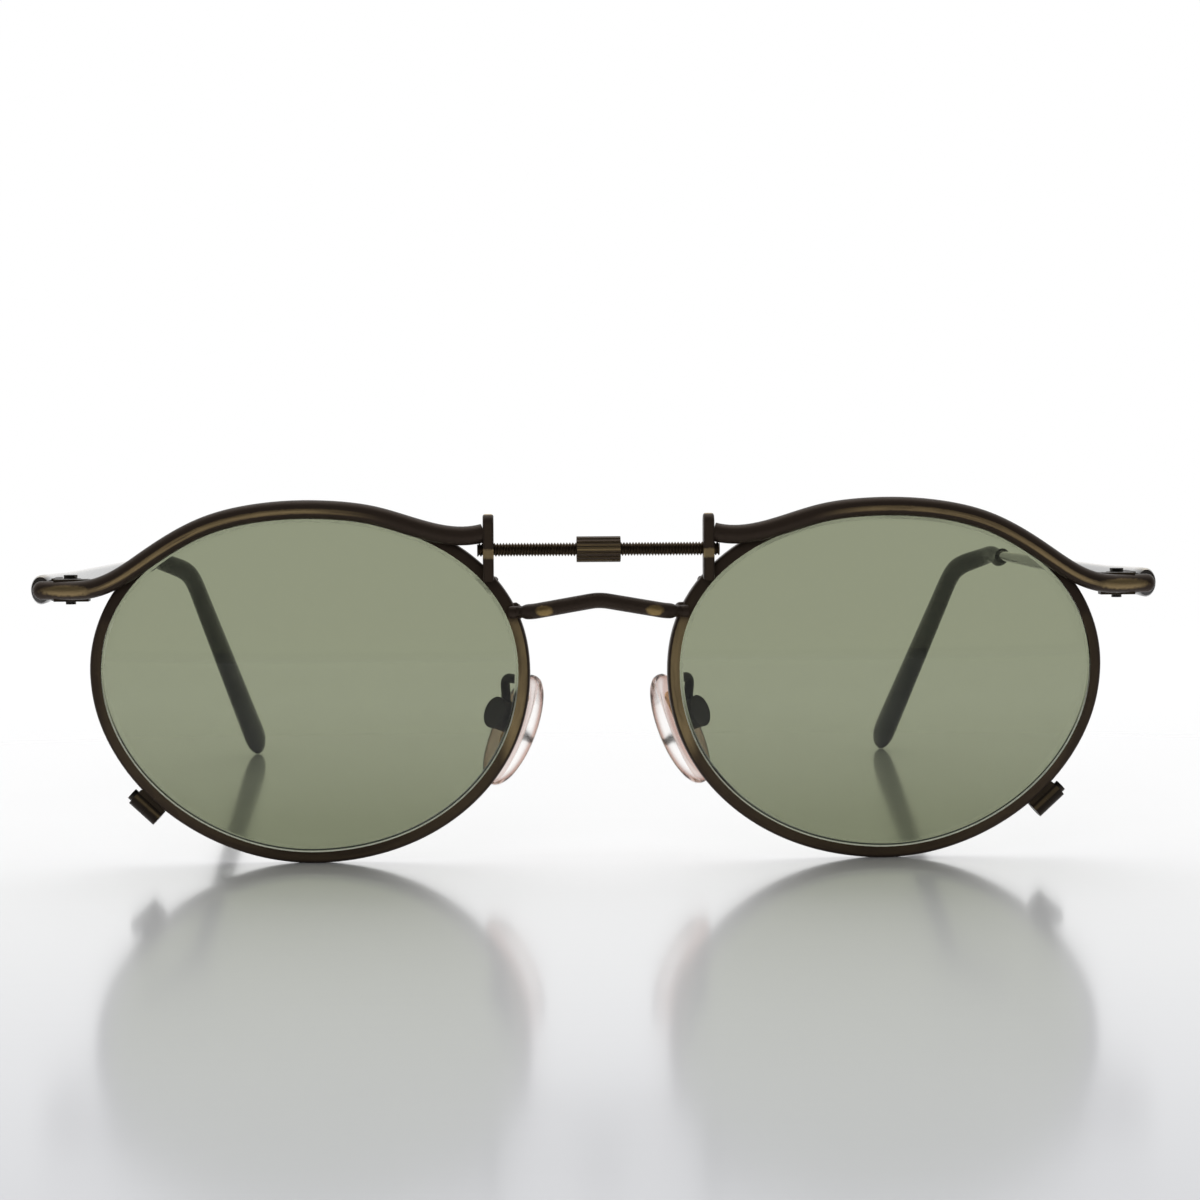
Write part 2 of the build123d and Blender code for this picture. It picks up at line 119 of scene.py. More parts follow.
# Nose pads, placed by the middle of their screw
pad_centre = Vector((11.1 * MM, front_y + 7.7 * MM, 16.55 * MM))
pad_frontal_angle = 23
pad_splay_angle = 35
pad_back = -1.3 * MM
pad_thickness = 2.6 * MM
pad_width = 7.2 * MM
pad_height = 14 * MM
pad_drop = 1.3 * MM
pad_top_share = 0.9
pad_segments = 72
pad_back_shares = [(0.0, 0.3), (0.0, 0.7), (0.0, 0.86), (0.05, 0.95), (0.18, 0.995), (0.35, 1), (0.5, 0.985)]
pad_face_shares = [(0.66, 0.93), (0.8, 0.83), (0.9, 0.68), (0.96, 0.48), (0.99, 0.26), (1.0, 0.08)]

# Points closer than a merge distance are one point, and a point this near to a cut end lies on it
merge_distance = 0.0005 * MM
thread_merge_distance = 0.002 * MM
end_tolerance = 0.001 * MM

# Edges sharper than these angles break the smooth shading, and those past the last are rounded
own_shape_angle = 32
wire_angle = 60
lens_angle = 20
thread_angle = 25
pad_angle = 50
round_from_angle = 40

# Table: its half size, and how it changes from the camera's side to the far side, in painted shade, gloss and
# white
table_half = 3000 * MM
table_painted_shade_from, table_painted_shade_to = -240 * MM, -20 * MM
table_gloss_from, table_gloss_to = -200 * MM, -60 * MM
table_white_from, table_white_to = 100 * MM, 420 * MM

# Soft boxes: name, place and size in metres, power in watts, and whether the metal mirrors them
soft_boxes = (
    ("back_box", (0, 0.75, 0.62), 0.8, 5, False),
    ("top_box", (0, 0.15, 0.9), 0.9, 1.8, True),
    ("front_fill", (-0.15, -0.95, 0.5), 0.6, 3, False),
)
lamp_target = Vector((0, 0, 20 * MM))

# Camera of the photograph: its place, its turns and its focal length in the photograph's pixels
camera_place = Vector((-12.53, -422.17, 48.33)) * MM
camera_yaw, camera_pitch, camera_roll = radians(-2.033), radians(2.851), radians(-0.3)
focal_pixels = 3077
photo_width = 1200
sensor_width = 36
nearest_seen = 10 * MM


# Materials


def linear(code):
    """Linear colour of an sRGB hex value."""
    parts = [int(code[i : i + 2], 16) / 255 for i in (1, 3, 5)]
    return [c / 12.92 if c <= 0.04045 else ((c + 0.055) / 1.055) ** 2.4 for c in parts] + [1]


def add(tree, kind, values=(), links=(), **settings):
    """Adds a node with its settings, socket values and links."""
    made = tree.nodes.new(kind)
    for key, value in settings.items():
        setattr(made, key, value)
    for key, value in dict(values).items():
        made.inputs[key].default_value = value
    for key, source in dict(links).items():
        tree.links.new(source, made.inputs[key])
    return made


def start(name):
    """An empty material, its node tree and the object coordinates."""
    material = bpy.data.materials.new(name)
    material.use_nodes = True
    tree = material.node_tree
    tree.nodes.clear()
    place = add(tree, "ShaderNodeTexCoord")
    return material, tree, place


def finish_material(tree, surface):
    """Links a finished surface to the material's output."""
    add(tree, "ShaderNodeOutputMaterial", links={"Surface": surface})


def bevel_line(tree, across, stops):
    """Strength of one line in the lens's bevel, through (place across the bevel, strength) stops."""
    curve = add(tree, "ShaderNodeValToRGB", {}, {"Fac": across})
    while len(curve.color_ramp.elements) < len(stops):
        curve.color_ramp.elements.new(0.5)
    for element, (at, share) in zip(curve.color_ramp.elements, stops):
        element.position = at
        element.color = (share, share, share, 1)
    return curve.outputs["Color"]


def wear_and_highlight_streaks(tree, place, side, low, high):
    """Brass where the surface faces a side, from low to high, broken into streaks that run along a wire: wear
    from rubbing together with painted highlight.
    """
    facing = add(
        tree,
        "ShaderNodeVectorMath",
        {1: side},
        {0: place.outputs["Normal"]},
        operation="DOT_PRODUCT",
    )
    facing_brass = add(
        tree,
        "ShaderNodeMapRange",
        {"From Min": low, "From Max": high},
        {"Value": facing.outputs["Value"]},
        interpolation_type="SMOOTHSTEP",
    )
    round_wire = add(tree, "ShaderNodeMath", {1: 45.0}, {0: facing.outputs["Value"]}, operation="MULTIPLY")
    here = add(
        tree,
        "ShaderNodeVectorMath",
        {"Scale": 1 / (9 * MM)},
        {0: place.outputs["Object"]},
        operation="SCALE",
    )
    parts = add(tree, "ShaderNodeSeparateXYZ", {}, {0: here.outputs[0]})
    streak_place = add(
        tree,
        "ShaderNodeCombineXYZ",
        {},
        {"X": parts.outputs["X"], "Y": round_wire.outputs[0], "Z": parts.outputs["Z"]},
    )
    streaks = add(
        tree,
        "ShaderNodeTexNoise",
        {"Scale": 1.0, "Detail": 3},
        {"Vector": streak_place.outputs[0]},
    )
    patchy = add(
        tree,
        "ShaderNodeMapRange",
        {"From Min": 0.34, "From Max": 0.56, "To Min": 0.35, "To Max": 1},
        {"Value": streaks.outputs["Fac"]},
    )
    return add(tree, "ShaderNodeMath", {}, {0: facing_brass.outputs[0], 1: patchy.outputs[0]}, operation="MULTIPLY")


def wear_and_highlight_spot(tree, place, mirrored, centre, half):
    """A spot with a ragged edge that shows brass, 1 inside its half size and 0 beyond: wear from rubbing
    together with painted highlight.
    """
    off = add(tree, "ShaderNodeVectorMath", {1: centre}, {0: mirrored.outputs[0]}, operation="SUBTRACT")
    scaled = add(tree, "ShaderNodeVectorMath", {1: half}, {0: off.outputs[0]}, operation="DIVIDE")
    far = add(tree, "ShaderNodeVectorMath", {}, {0: scaled.outputs[0]}, operation="LENGTH")
    ragged = add(
        tree,
        "ShaderNodeTexNoise",
        {"Scale": 1 / (0.4 * MM), "Detail": 2},
        {"Vector": place.outputs["Object"]},
    )
    edge = add(
        tree,
        "ShaderNodeMath",
        {1: 0.4},
        {0: ragged.outputs["Fac"], 2: far.outputs["Value"]},
        operation="MULTIPLY_ADD",
    )
    return add(
        tree,
        "ShaderNodeMapRange",
        {"From Min": 1.35, "From Max": 0.85},
        {"Value": edge.outputs[0]},
        interpolation_type="SMOOTHSTEP",
    )


def antique_bronze(
    name,
    side,
    low,
    high,
    spans=(),
    spots=(),
    brass="#AD976F",
    oxide="#382E26",
    rough_range=(0.36, 0.52),
    lacquer=0,
):
    """Brass under a dark satin oxide skin, shown as warm metal where a cloth reaches and where a highlight is
    painted.

    It shows where the surface faces a side, as wear from rubbing together with painted highlight, and more so
    from low to high. Each span (axis, from, to, least) keeps it to a part of the piece. Each spot (centre,
    half size) shows it too, the same on both sides.
    Lacquer lies over the skin as a clear coat, and then the skin under it isn't metallic. The skin's grain is
    too fine to show, and is drawn as coarse as 0.25 mm.
    """
    material, tree, place = start(name)
    wear_and_highlight = wear_and_highlight_streaks(tree, place, side, low, high)
    mirrored = add(tree, "ShaderNodeVectorMath", {}, {0: place.outputs["Object"]}, operation="ABSOLUTE")
    apart = add(tree, "ShaderNodeSeparateXYZ", {}, {0: mirrored.outputs[0]})
    for axis, start_at, full_at, least in spans:
        reach = add(
            tree,
            "ShaderNodeMapRange",
            {"From Min": start_at, "From Max": full_at, "To Min": least, "To Max": 1},
            {"Value": apart.outputs[axis]},
            interpolation_type="SMOOTHSTEP",
        )
        factors = {0: wear_and_highlight.outputs[0], 1: reach.outputs[0]}
        wear_and_highlight = add(tree, "ShaderNodeMath", {}, factors, operation="MULTIPLY")
    for centre, half in spots:
        spot = wear_and_highlight_spot(tree, place, mirrored, centre, half)
        either = {0: wear_and_highlight.outputs[0], 1: spot.outputs[0]}
        wear_and_highlight = add(tree, "ShaderNodeMath", {}, either, operation="MAXIMUM")
    # The oxide turns to brass as wear from rubbing and as painted highlight.
    colour = add(
        tree,
        "ShaderNodeMix",
        {6: linear(oxide), 7: linear(brass)},
        {0: wear_and_highlight.outputs[0]},
        data_type="RGBA",
    )
    grain = add(
        tree,
        "ShaderNodeTexNoise",
        {"Scale": 1 / (0.25 * MM), "Detail": 3},
        {"Vector": place.outputs["Object"]},
    )
    rough = add(
        tree,
        "ShaderNodeMapRange",
        {"From Min": 0.3, "From Max": 0.7, "To Min": rough_range[0], "To Max": rough_range[1]},
        {"Value": grain.outputs["Fac"]},
    )
    bump = add(
        tree,
        "ShaderNodeBump",
        {"Strength": 0.25, "Distance": 0.01 * MM},
        {"Height": grain.outputs["Fac"]},
    )
    metallic = add(tree, "ShaderNodeMapRange", {"To Min": 0 if lacquer else 0.55}, {"Value": wear_and_highlight.outputs[0]})
    metal = add(
        tree,
        "ShaderNodeBsdfPrincipled",
        {"Specular IOR Level": 0.5 if lacquer else 0.22, "Coat Weight": lacquer, "Coat Roughness": 0.06},
        {
            "Metallic": metallic.outputs[0],
            "Base Color": colour.outputs[2],
            "Roughness": rough.outputs[0],
            "Normal": bump.outputs[0],
        },
    )
    finish_material(tree, metal.outputs[0])
    return material


def tinted_glass():
    """Mineral glass with a grey-green tint, polished, and darkened downwards by painted shade.

    Below, its ground bevel carries painted light, a dark line of painted shade and a pale line of painted
    highlight, which bevel_share places across it.
    """
    material, tree, place = start("tinted_mineral_glass")
    wave = add(
        tree,
        "ShaderNodeTexNoise",
        {"Scale": 1 / (18 * MM), "Detail": 1},
        {"Vector": place.outputs["Object"]},
    )
    bump = add(
        tree,
        "ShaderNodeBump",
        {"Strength": 0.02, "Distance": 0.02 * MM},
        {"Height": wave.outputs["Fac"]},
    )
    across = add(tree, "ShaderNodeAttribute", attribute_name="bevel_share")
    apart = add(tree, "ShaderNodeSeparateXYZ", {}, {0: place.outputs["Object"]})
    low = add(
        tree,
        "ShaderNodeMapRange",
        {"From Min": 25 * MM, "From Max": 14 * MM},
        {"Value": apart.outputs["Z"]},
        interpolation_type="SMOOTHSTEP",
    )
    # Below, the bevel carries painted light: a dark line of painted shade and a pale line of painted
    # highlight, both faded out above 25 mm by the mask low.
    painted_shade_line_stops = [(0, 0), (0.03, 1), (0.24, 1), (0.28, 0), (0.58, 0), (0.62, 1)]
    painted_highlight_line_stops = [(0, 0), (0.24, 0), (0.28, 1), (0.58, 1), (0.62, 0)]
    clear_stops = [(0.85, 0), (0.88, 1)]
    dark = bevel_line(tree, across.outputs["Fac"], painted_shade_line_stops)
    pale = bevel_line(tree, across.outputs["Fac"], painted_highlight_line_stops)
    clear = bevel_line(tree, across.outputs["Fac"], clear_stops)
    # Painted shade: the tint darkens from 19 mm down to 5 mm.
    depth = add(
        tree,
        "ShaderNodeMapRange",
        {"From Min": 19 * MM, "From Max": 5 * MM},
        {"Value": apart.outputs["Z"]},
    )
    tint = add(
        tree,
        "ShaderNodeMix",
        {6: linear("#92977F"), 7: linear("#81866D")},
        {0: depth.outputs[0]},
        data_type="RGBA",
    )
    painted_shade_line_share = add(tree, "ShaderNodeMath", {}, {0: dark, 1: low.outputs[0]}, operation="MULTIPLY")
    tint_with_painted_shade_line = add(
        tree,
        "ShaderNodeMix",
        {7: linear("#0A0D0C")},
        {0: painted_shade_line_share.outputs[0], 6: tint.outputs[2]},
        data_type="RGBA",
    )
    body = add(
        tree,
        "ShaderNodeBsdfPrincipled",
        {"Roughness": 0.0, "IOR": 1.523, "Transmission Weight": 1.0},
        {"Base Color": tint_with_painted_shade_line.outputs[2], "Normal": bump.outputs[0]},
    )
    shade = add(tree, "ShaderNodeBsdfTransparent", {"Color": linear("#92977F")})
    path = add(tree, "ShaderNodeLightPath")
    tinted = add(
        tree,
        "ShaderNodeMixShader",
        {},
        {0: path.outputs["Is Shadow Ray"], 1: body.outputs[0], 2: shade.outputs[0]},
    )
    painted_highlight_line_share = add(tree, "ShaderNodeMath", {}, {0: pale, 1: low.outputs[0]}, operation="MULTIPLY")
    # The pale line is a painted highlight: a white translucent band, drawn only in the lower half.
    ground = add(tree, "ShaderNodeBsdfTranslucent", {"Color": linear("#FFFFFF")})
    lit = add(
        tree,
        "ShaderNodeMixShader",
        {},
        {0: painted_highlight_line_share.outputs[0], 1: tinted.outputs[0], 2: ground.outputs[0]},
    )
    # The rear bevel's see-through band, drawn only in the lower half, adds to the painted bright line by
    # showing the white table straight through.
    clear_share = add(tree, "ShaderNodeMath", {}, {0: clear, 1: low.outputs[0]}, operation="MULTIPLY")
    open_glass = add(tree, "ShaderNodeBsdfTransparent", {"Color": linear("#FFFFFF")})
    both = add(
        tree,
        "ShaderNodeMixShader",
        {},
        {0: clear_share.outputs[0], 1: lit.outputs[0], 2: open_glass.outputs[0]},
    )
    finish_material(tree, both.outputs[0])
    return material


def clear_silicone():
    """Moulded clear silicone: nearly white when looked through, and brownish pink along its edge."""
    material, tree, place = start("clear_moulded_silicone")
    flow = add(
        tree,
        "ShaderNodeTexNoise",
        {"Scale": 1 / (1.6 * MM), "Detail": 2},
        {"Vector": place.outputs["Object"]},
    )
    bump = add(
        tree,
        "ShaderNodeBump",
        {"Strength": 0.06, "Distance": 0.05 * MM},
        {"Height": flow.outputs["Fac"]},
    )
    edge = add(tree, "ShaderNodeLayerWeight", {"Blend": 0.5})
    along = add(
        tree,
        "ShaderNodeMapRange",
        {"From Min": 0.1, "From Max": 0.44},
        {"Value": edge.outputs["Facing"]},
        interpolation_type="SMOOTHSTEP",
    )
    tint = add(
        tree,
        "ShaderNodeMix",
        {6: linear("#FFFDFB"), 7: linear("#A88072")},
        {0: along.outputs[0]},
        data_type="RGBA",
    )
    rough = add(tree, "ShaderNodeMapRange", {"To Min": 0.03, "To Max": 0.12}, {"Value": flow.outputs["Fac"]})
    soft = add(
        tree,
        "ShaderNodeBsdfPrincipled",
        {"IOR": 1.26, "Transmission Weight": 1.0},
        {"Base Color": tint.outputs[2], "Roughness": rough.outputs[0], "Normal": bump.outputs[0]},
    )
    shade = add(tree, "ShaderNodeBsdfTransparent", {"Color": linear("#F3E4DC")})
    path = add(tree, "ShaderNodeLightPath")
    both = add(
        tree,
        "ShaderNodeMixShader",
        {},
        {0: path.outputs["Is Shadow Ray"], 1: soft.outputs[0], 2: shade.outputs[0]},
    )
    finish_material(tree, both.outputs[0])
    return material


def polished_acetate():
    """Black tumbled acetate: deep and smooth, with a polish haze drawn coarser than it is, 1.2 mm wide."""
    material, tree, place = start("black_tumbled_acetate")
    haze = add(
        tree,
        "ShaderNodeTexNoise",
        {"Scale": 1 / (1.2 * MM), "Detail": 5},
        {"Vector": place.outputs["Object"]},
    )
    rough = add(
        tree,
        "ShaderNodeMapRange",
        {"From Min": 0.3, "From Max": 0.7, "To Min": 0.12, "To Max": 0.2},
        {"Value": haze.outputs["Fac"]},
    )
    bump = add(
        tree,
        "ShaderNodeBump",
        {"Strength": 0.06, "Distance": 0.02 * MM},
        {"Height": haze.outputs["Fac"]},
    )
    plastic = add(
        tree,
        "ShaderNodeBsdfPrincipled",
        {"Base Color": linear("#141413"), "IOR": 1.49},
        {"Roughness": rough.outputs[0], "Normal": bump.outputs[0]},
    )
    finish_material(tree, plastic.outputs[0])
    return material


def plain_metal(name, dark, light, low, high):
    """Turned or plated metal, slightly mottled between two colours and between a low and a high roughness.

    The mottling is too fine to show on the real pieces, and is drawn 0.5 mm wide.
    """
    material, tree, place = start(name)
    mottle = add(
        tree,
        "ShaderNodeTexNoise",
        {"Scale": 1 / (0.5 * MM), "Detail": 4},
        {"Vector": place.outputs["Object"]},
    )
    colour = add(
        tree,
        "ShaderNodeMix",
        {6: linear(dark), 7: linear(light)},
        {0: mottle.outputs["Fac"]},
        data_type="RGBA",
    )
    rough = add(tree, "ShaderNodeMapRange", {"To Min": low, "To Max": high}, {"Value": mottle.outputs["Fac"]})
    bump = add(
        tree,
        "ShaderNodeBump",
        {"Strength": 0.15, "Distance": 0.01 * MM},
        {"Height": mottle.outputs["Fac"]},
    )
    metal = add(
        tree,
        "ShaderNodeBsdfPrincipled",
        {"Metallic": 1.0},
        {"Base Color": colour.outputs[2], "Roughness": rough.outputs[0], "Normal": bump.outputs[0]},
    )
    finish_material(tree, metal.outputs[0])
    return material


# The bars show brass along their front, from above the lens to just before the round end, and there all over:
# wear from rubbing together with a painted highlight stripe.
bar_spans = [("X", 24 * MM, 36 * MM, 0.0), ("X", 65.0 * MM, 63.8 * MM, 0.15)]
bar_spots = [((61.8 * MM, 62 * MM, 31.9 * MM), (3.2 * MM, 6 * MM, 0.66 * MM))]
bar_bronze = antique_bronze(
    "antique_bronze_bar",
    side=(0, -0.985, -0.17),
    low=0.94,
    high=0.998,
    spans=bar_spans,
    spots=bar_spots,
    brass="#97835F",
)

# The rims show brass on their front face, on the side of the nose and below the bridge: wear from rubbing
# together with painted highlight.
rim_spans = [("X", 11.8 * MM, 9.8 * MM, 0.1), ("Z", 29 * MM, 27.5 * MM, 0.1)]
rim_bronze = antique_bronze("antique_bronze_rim", side=(0, -1, 0), low=0.9, high=0.99, spans=rim_spans)

# The bridge and the posts show brass in spots, and which way they face adds little or nothing. The spots are
# painted highlights: on the bridge, on the posts' tops, and at the posts' rod bosses, there together with
# wear from rubbing.
bridge_highlight_spots = [((6.4 * MM, 67.2 * MM, 29.4 * MM), (1.05 * MM, 0.9 * MM, 0.65 * MM))]
bridge_bronze = antique_bronze(
    "antique_bronze_bridge",
    side=(0, -1, 0),
    low=1.2,
    high=1.5,
    spots=bridge_highlight_spots,
    brass="#9C8458",
)
post_highlight_spots = [
    ((12.8 * MM, 66.3 * MM, 36 * MM), (2 * MM, 0.5 * MM, 0.6 * MM)),
    ((12.8 * MM, 65.5 * MM, 40.7 * MM), (2 * MM, 1.2 * MM, 0.2 * MM)),
]
post_bronze = antique_bronze("antique_bronze_posts", side=(0, -1, 0), low=0.95, high=1.4, spots=post_highlight_spots)

# The closing blocks, hinges, pad arms and boxes are darker, and show a little brass where they face forwards:
# wear from rubbing together with painted highlight.
block_bronze = antique_bronze(
    "antique_bronze_blocks",
    side=(0, -0.95, 0.3),
    low=0.93,
    high=1.05,
    oxide="#28211B",
)
# The knurled sleeve shows brass where its ridges face forwards: painted highlights.
sleeve_bronze = antique_bronze(
    "antique_bronze_sleeve",
    side=(0, -0.99, 0.12),
    low=0.94,
    high=0.985,
    brass="#A8926A",
    oxide="#453A30",
)

# The temples are lacquered, and their tops, seen along from the front, are painted pale as a painted sheen.
temple_bronze_painted_sheen = antique_bronze(
    "lacquered_bronze_temple_painted_sheen",
    side=(0, 0, 1),
    low=0.6,
    high=0.98,
    brass="#C9BFAE",
    oxide="#2C2822",
    rough_range=(0.14, 0.22),
    lacquer=1,
)
rod_brass = plain_metal("thread_rolled_dark_brass", "#463C31", "#6C5C48", 0.34, 0.46)
screw_steel = plain_metal("turned_dark_steel", "#2A2826", "#4A4640", 0.3, 0.45)
gilt = plain_metal("gilt_stamped_brass", "#CDB080", "#E6D2A6", 0.18, 0.3)
glass = tinted_glass()
silicone = clear_silicone()
acetate = polished_acetate()


# Pieces


def place_mesh(name, bm, material, node, replaced=True):
    """Turns a bmesh into an object that rides with a node of the model and, if replaced, stands for it."""
    mesh = bpy.data.meshes.new(name)
    bm.to_mesh(mesh)
    bm.free()
    mesh.materials.append(material)
    piece = bpy.data.objects.new(name, mesh)
    bpy.context.scene.collection.objects.link(piece)
    if replaced:
        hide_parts(node)
    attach(piece, body_of_node[node])
    return piece


def sharpen(bm, angle):
    """Smooth faces that break only at edges sharper than an angle."""
    for face in bm.faces:
        face.smooth = True
    for edge in bm.edges:
        edge.smooth = edge.calc_face_angle(0) < radians(angle)


def smooth_copy(node, material, edge_round=0, split_side=0):
    """The node's own mesh, merged and smooth, with its edges slightly rounded if asked."""
    bm = bmesh.new()
    bm.from_mesh(frame["nodes"][node].data)
    bmesh.ops.remove_doubles(bm, verts=bm.verts, dist=merge_distance)
    if split_side:
        close_split(bm, split_side)
    sharpen(bm, own_shape_angle)
    piece = place_mesh(f"{node}_finished", bm, material, node)
    if edge_round:
        rounding = piece.modifiers.new("edge_round", "BEVEL")
        rounding.width = edge_round
        rounding.segments = 2
        rounding.limit_method = "ANGLE"
        rounding.angle_limit = radians(round_from_angle)
        rounding.harden_normals = True
    return piece


def ring_body(rings, values=None, layer_name=None):
    """Closed body through rings of points, with a value for each ring if asked."""
    bm = bmesh.new()
    layer = bm.verts.layers.float.new(layer_name) if layer_name else None
    loop = bmesh.ops.create_circle(bm, segments=len(rings[0]), radius=1)["verts"]
    first = list({e for v in loop for e in v.link_edges})
    edges = first
    for number, ring in enumerate(rings):
        if number:
            grown = bmesh.ops.extrude_edge_only(bm, edges=edges)["geom"]
            new = {g for g in grown if isinstance(g, bmesh.types.BMVert)}
            loop = [next(o for e in v.link_edges if (o := e.other_vert(v)) in new) for v in loop]
            grown_edges = [g for g in grown if isinstance(g, bmesh.types.BMEdge)]
            edges = [e for e in grown_edges if e.verts[0] in new and e.verts[1] in new]
        for vert, point in zip(loop, ring):
            vert.co = point
            if layer:
                vert[layer] = values[number]
    bmesh.ops.edgeloop_fill(bm, edges=first)
    bmesh.ops.edgeloop_fill(bm, edges=edges)
    bmesh.ops.recalc_face_normals(bm, faces=bm.faces)
    return bm


def lens_matrix():
    """Place of a left lens: turned by the wrap about its own middle."""
    return Matrix.Translation(lens_centre) @ Matrix.Rotation(radians(wrap_angle), 4, "Z")


def close_split(bm, side):
    """Brings the faces of the split rim and of its closing block together, as under the screw's pull."""
    turned = lens_matrix()
    turn = radians(lock_angle)
    ends = [oval_point(turn + step, 0) for step in (-split_turn_step, split_turn_step)]
    low, high = [turned @ Vector((x, 0, z)) for x, z in ends]
    middle, along = (low + high) / 2, (high - low).normalized()
    middle.x, along.x = side * middle.x, side * along.x
    for vert in bm.verts:
        off = (vert.co - middle).dot(along)
        if abs(off) < split_zone and (vert.co - middle).length < split_zone_radius:
            vert.co -= along * (off - split_left_open * (1 if off > 0 else -1))


def drops(place, size, name, node):
    """Two drops of hard solder, one on each side, that ran into a joint and froze there."""
    bm = bmesh.new()
    for side, _ in sides:
        spot = Vector((side * place.x, place.y, place.z))
        drop = bmesh.ops.create_icosphere(bm, subdivisions=4, radius=1)["verts"]
        for vert in drop:
            swell = 1 + drop_swell * noise.noise(vert.co * drop_swell_rate + spot * drop_pattern_shift)
            vert.co = spot + Vector([c * s * swell for c, s in zip(vert.co, size)])
    sharpen(bm, wire_angle)
    return place_mesh(name, bm, bridge_bronze, node, False)


def middle_path(node, stations):
    """Middles of a wire's sections at X stations."""
    middles = []
    for x in stations:
        bm = bmesh.new()
        bm.from_mesh(frame["nodes"][node].data)
        everything = bm.verts[:] + bm.edges[:] + bm.faces[:]
        cut = bmesh.ops.bisect_plane(bm, geom=everything, plane_co=(x, 0, 0), plane_no=(1, 0, 0))["geom_cut"]
        spots = [v.co.copy() for v in cut if isinstance(v, bmesh.types.BMVert)]
        low = Vector([min(p[i] for p in spots) for i in range(3)])
        high = Vector([max(p[i] for p in spots) for i in range(3)])
        middles.append((low + high) / 2)
        bm.free()
    return middles


def wire_rings(path, radii, segments):
    """Rings square to a path, with a radius at each of its points."""
    rings = []
    for i, (middle, radius) in enumerate(zip(path, radii)):
        ahead = (path[min(i + 1, len(path) - 1)] - path[max(i - 1, 0)]).normalized()
        up = ahead.cross(Vector((0, 1, 0))).normalized()
        out = ahead.cross(up)
        turns = [2 * pi * k / segments for k in range(segments)]
        rings.append([middle + radius * (up * cos(t) + out * sin(t)) for t in turns])
    return rings


def make_bridge():
    """Bridge wire, drawn in to a neck before each brazed end."""
    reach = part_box("bridge")[1].x - bridge_end_inset
    stations = [reach * (2 * i / bridge_steps - 1) for i in range(bridge_steps + 1)]
    path = middle_path("bridge", stations)
    radii = []
    for x in stations:
        off = (abs(x) - neck_place) / neck_reach
        beyond = braze_share if abs(x) > neck_place else 0
        drawn_in = (neck_share - beyond) * exp(-off * off) + beyond * min(1, abs(off))
        radii.append(bridge_radius * (1 - drawn_in))
    bm = ring_body(wire_rings(path, radii, bridge_segments))
    sharpen(bm, wire_angle)
    return place_mesh("bridge_drawn", bm, bridge_bronze, "bridge")


def oval_radius(turn):
    """Radius of the lens's oval at an angle, from its widest line's middle."""
    across = abs(cos(turn)) / (lens_width / 2)
    if sin(turn) >= 0:
        power, reach = upper_power, lens_height / 2 - widest_lift
    else:
        power = lower_outer_power if cos(turn) > 0 else lower_nasal_power
        reach = lens_height / 2 + widest_lift
    return (across**power + (abs(sin(turn)) / reach) ** power) ** (-1 / power)


def oval_point(turn, grow):
    """X and Z of the lens's oval at an angle, moved square outwards by a length."""
    step = 2 * pi / lens_segments / 8
    ahead, behind = turn + step, turn - step
    before, after = oval_radius(behind), oval_radius(ahead)
    run = Vector((after * cos(ahead) - before * cos(behind), after * sin(ahead) - before * sin(behind)))
    run.normalize()
    radius = oval_radius(turn)
    return radius * cos(turn) + grow * run.y, widest_lift + radius * sin(turn) - grow * run.x


def lens_ring(side, grow, share, back):
    """Ring of points on the lens's front curve, moved back by a depth."""
    turned = lens_matrix()
    points = []
    for i in range(lens_segments):
        x, z = oval_point(2 * pi * i / lens_segments, grow)
        x, z = x * share, z * share
        sag = front_curve_radius - sqrt(front_curve_radius**2 - x**2 - z**2)
        point = turned @ Vector((x, sag + back, z))
        points.append(Vector((side * point.x, point.y, point.z)))
    return points


def make_lens(side, name):
    """Lens on its front curve, with a ground bevel on both edges of its rim.

    Each ring carries its bevel_share: its share across the front bevel, or a mark where the rear is clear.
    """
    shares = [(i + first_ring_share) / (lens_rings + first_ring_share) for i in range(lens_rings + 1)]
    half = lens_thickness / 2
    width, slope = bevel_inset + bevel_reach, half - bevel_flat / 2
    rings = [(lens_ring(side, -bevel_inset, share, -half), 0) for share in shares]
    for part in front_bevel_shares:
        rings.append((lens_ring(side, -bevel_inset + width * part, 1, -half + slope * part), part))
    for part, value in ((0, clear_mark), (clear_from_share, clear_mark), (clear_to_share, 0)):
        rings.append((lens_ring(side, bevel_reach - width * part, 1, bevel_flat / 2 + slope * part), value))
    rings += [(lens_ring(side, -bevel_inset, share, half), 0) for share in reversed(shares)]
    bm = ring_body([ring for ring, _ in rings], [value for _, value in rings], "bevel_share")
    sharpen(bm, lens_angle)
    return place_mesh(f"{name}_polished", bm, glass, name)


